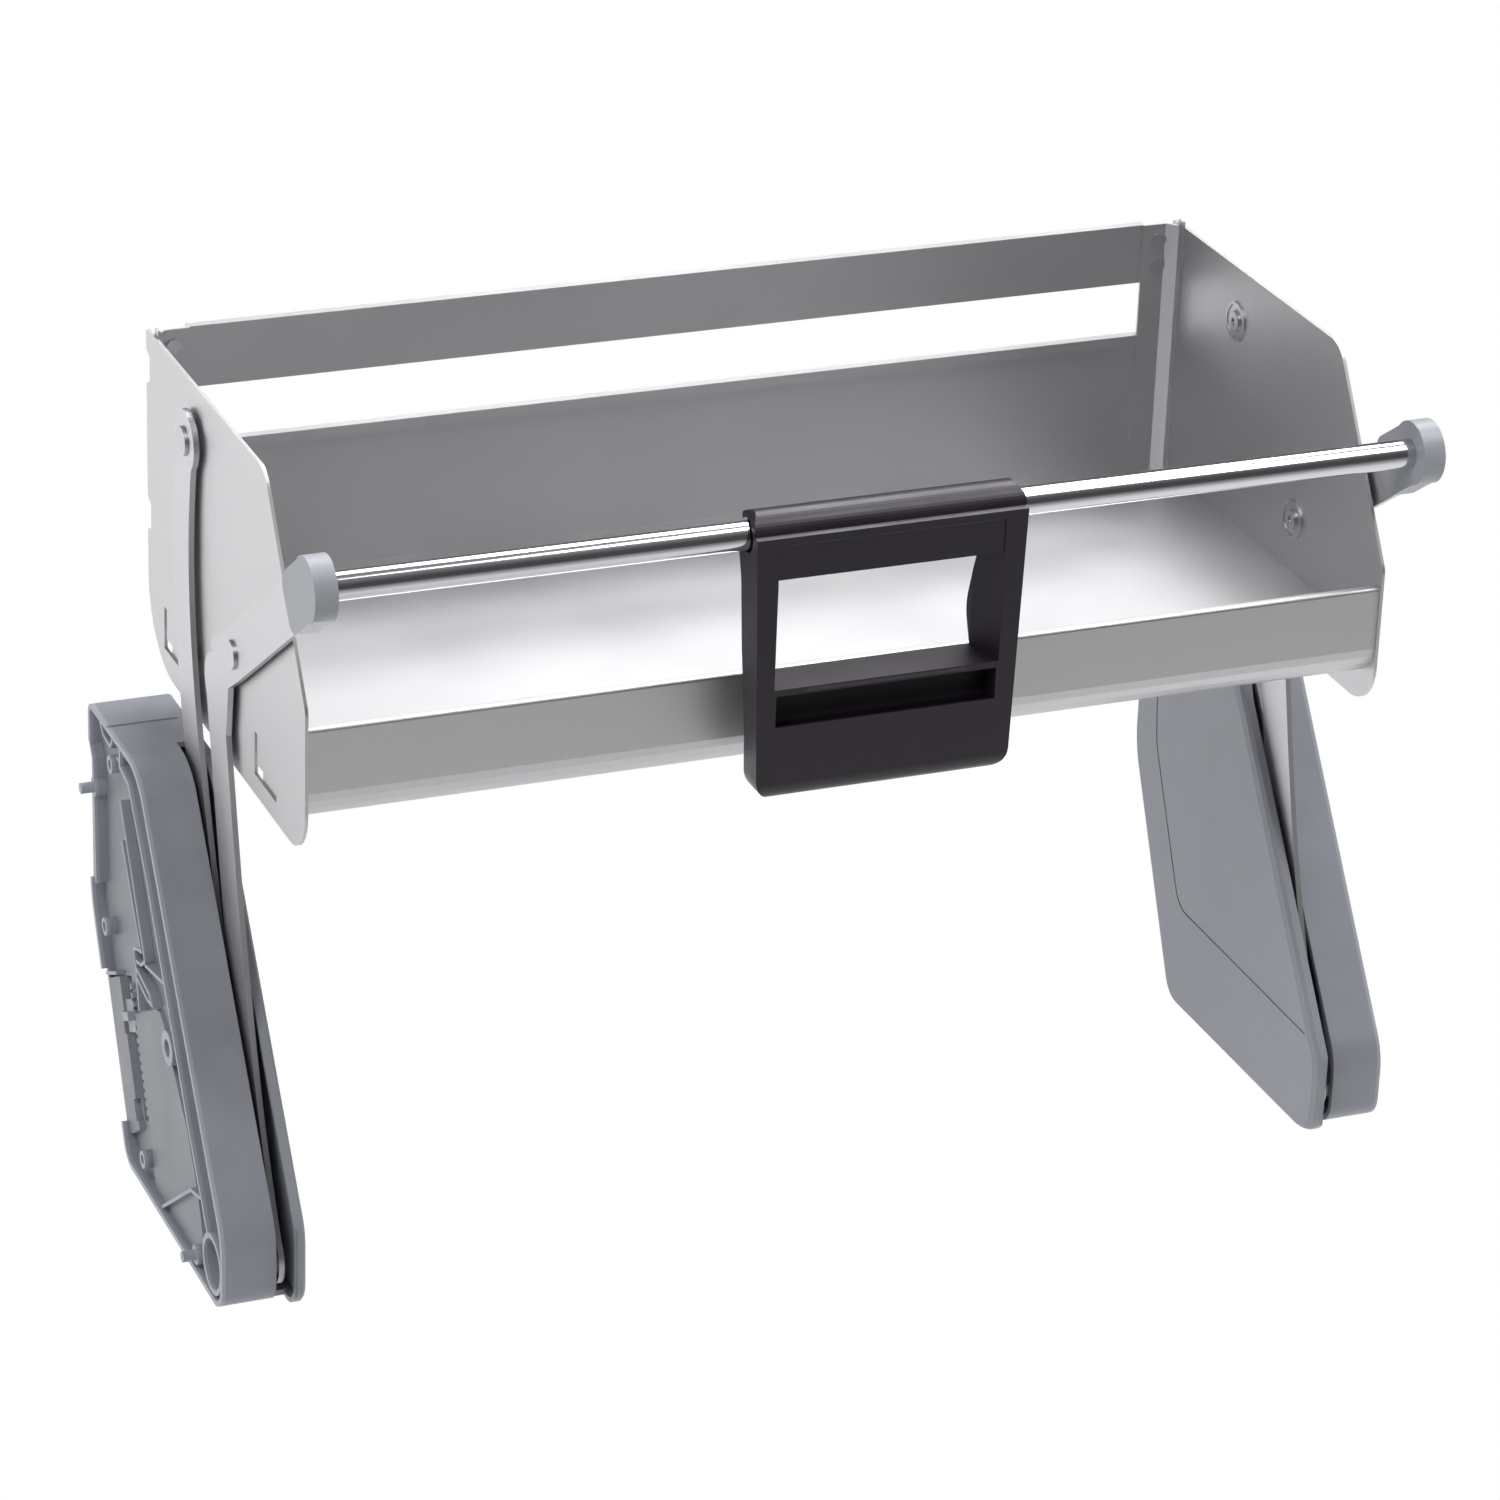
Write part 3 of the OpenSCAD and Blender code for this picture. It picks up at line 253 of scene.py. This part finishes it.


# The case plastic carries painted shade in its web and a painted highlight on its rims
case_plastic = moulded_plastic("case plastic", rgb((153, 156, 164)), 0.44, painted_light=case_painted_shade_and_highlight)
handle_plastic = moulded_plastic("handle plastic", rgb((45, 38, 47)), 0.36,
                                 strength=0.04, mottle=0.03)
grip_plastic = moulded_plastic("grip plastic", rgb((68, 62, 70)), 0.50)
cap_plastic = moulded_plastic("cap plastic", rgb((168, 171, 178)), 0.40)
damper_plastic = moulded_plastic("damper plastic", rgb((40, 40, 43)), 0.45)
rubber = moulded_plastic("rubber", rgb((38, 38, 40)), 0.75, RUBBER_GRAIN, strength=0.2)
silver_sheet = coated_sheet("silver sheet", rgb((204, 204, 206)), 0.46)
silver_arm = coated_sheet("silver arm", rgb((206, 205, 208)), 0.45)
bar_chrome = drawn_bar("bar chrome", rgb((204, 205, 209)), 0.12)
zinc_steel = coated_sheet("zinc steel", rgb((205, 205, 208)), 0.28)

# The finish of each material slot in the record
FINISHES = {
    "case_plastic": case_plastic,
    "bright_steel": zinc_steel,
    "light_plastic": cap_plastic,
    "dark_plastic": damper_plastic,
    "rubber": rubber,
    "arm_steel": silver_arm,
    "sheet_steel": silver_sheet,
    "bar_chrome": bar_chrome,
    "handle_plastic": handle_plastic,
}


def dress_nodes():
    """Gives each CAD node the finish of its slot, and the grip strip a paler one."""
    slots = {part["node"]: part["material_slot"] for part in frame["record"]["subparts"]}
    for name, node in frame["nodes"].items():
        finish = grip_plastic if name == "handle_grip_strip" else FINISHES[slots[name]]
        node.data.materials.clear()
        node.data.materials.append(finish)


def add_camera():
    yaw, pitch, roll = (math.radians(a) for a in (CAMERA_YAW, CAMERA_PITCH, CAMERA_ROLL))
    level = Vector((math.sin(yaw), math.cos(yaw), 0))
    ahead = level * math.cos(pitch) - Vector((0, 0, math.sin(pitch)))
    right = Vector((math.cos(yaw), -math.sin(yaw), 0))
    up = right.cross(ahead)
    rolled_right = right * math.cos(roll) + up * math.sin(roll)
    rolled_up = up * math.cos(roll) - right * math.sin(roll)
    data = bpy.data.cameras.new("camera")
    data.lens = CAMERA_LENS
    data.sensor_width = 36
    data.clip_end = CAMERA_FAR_END
    camera = bpy.data.objects.new("camera", data)
    turn = Matrix((rolled_right, rolled_up, -ahead)).transposed()
    camera.matrix_world = Matrix.Translation(CAMERA_PLACE) @ turn.to_4x4()
    bpy.context.scene.collection.objects.link(camera)
    bpy.context.scene.camera = camera


def add_softbox(name, place, target, size, power):
    data = bpy.data.lights.new(name, "AREA")
    data.shape = "RECTANGLE"
    data.size, data.size_y = size
    data.energy = power
    lamp = bpy.data.objects.new(name, data)
    lamp.location = place
    towards = Vector(target) - Vector(place)
    lamp.rotation_euler = towards.to_track_quat("-Z", "Y").to_euler()
    bpy.context.scene.collection.objects.link(lamp)


def add_world():
    """A dim room, paler towards the back and the left, and plain white straight to the camera."""
    world = bpy.data.worlds.new("studio")
    bpy.context.scene.world = world
    world.use_nodes = True
    g = Graph(world.node_tree)
    right, back, up = g.parts(g.add("ShaderNodeTexCoord", out=0))
    wall = g.ramp(back - right * WALL_LEFTWARDS, WALL_FADE)
    ceiling = g.ramp(up, CEILING_FADE)
    level = wall * WALL_LEVEL + ceiling * CEILING_LEVEL + ROOM_LEVEL
    dim = g.mix_colour(level, BLACK, WHITE)
    straight = g.add("ShaderNodeLightPath", out=0)
    shown = g.mix_colour(straight, dim, WHITE)
    background = g.add("ShaderNodeBackground", {}, {"Color": shown, "Strength": 1.0})
    g.add("ShaderNodeOutputWorld", {}, {"Surface": background})


def add_floor():
    """A pale floor that is plain white to the camera."""
    mesh = bpy.data.meshes.new("floor")
    reach = FLOOR_REACH
    corners = [(-reach, -reach, 0), (reach, -reach, 0), (reach, reach, 0), (-reach, reach, 0)]
    mesh.from_pydata(corners, [], [(0, 1, 2, 3)])
    floor = bpy.data.objects.new("floor", mesh)
    floor.location.z = FLOOR_Z
    bpy.context.scene.collection.objects.link(floor)
    material, g = new_material("floor")
    backwards = g.parts(g.here())[1]
    paint = g.mix_colour(g.ramp(backwards, FLOOR_FADE), grey(FLOOR_NEAR), grey(FLOOR_FAR))
    plain = g.add("ShaderNodeBsdfDiffuse", {}, {"Color": paint})
    white = g.add("ShaderNodeEmission", {}, {"Color": WHITE, "Strength": 1.0})
    straight = g.add("ShaderNodeLightPath", out=0)
    shown = g.add("ShaderNodeMixShader", {}, {0: straight, 1: plain, 2: white})
    g.add("ShaderNodeOutputMaterial", {}, {"Surface": shown})
    mesh.materials.append(material)


dress_nodes()
add_camera()
add_floor()
add_world()
for name, (place, target, size, power) in SOFTBOXES.items():
    add_softbox(name, place, target, size, power)
bpy.context.scene.view_settings.view_transform = "Standard"
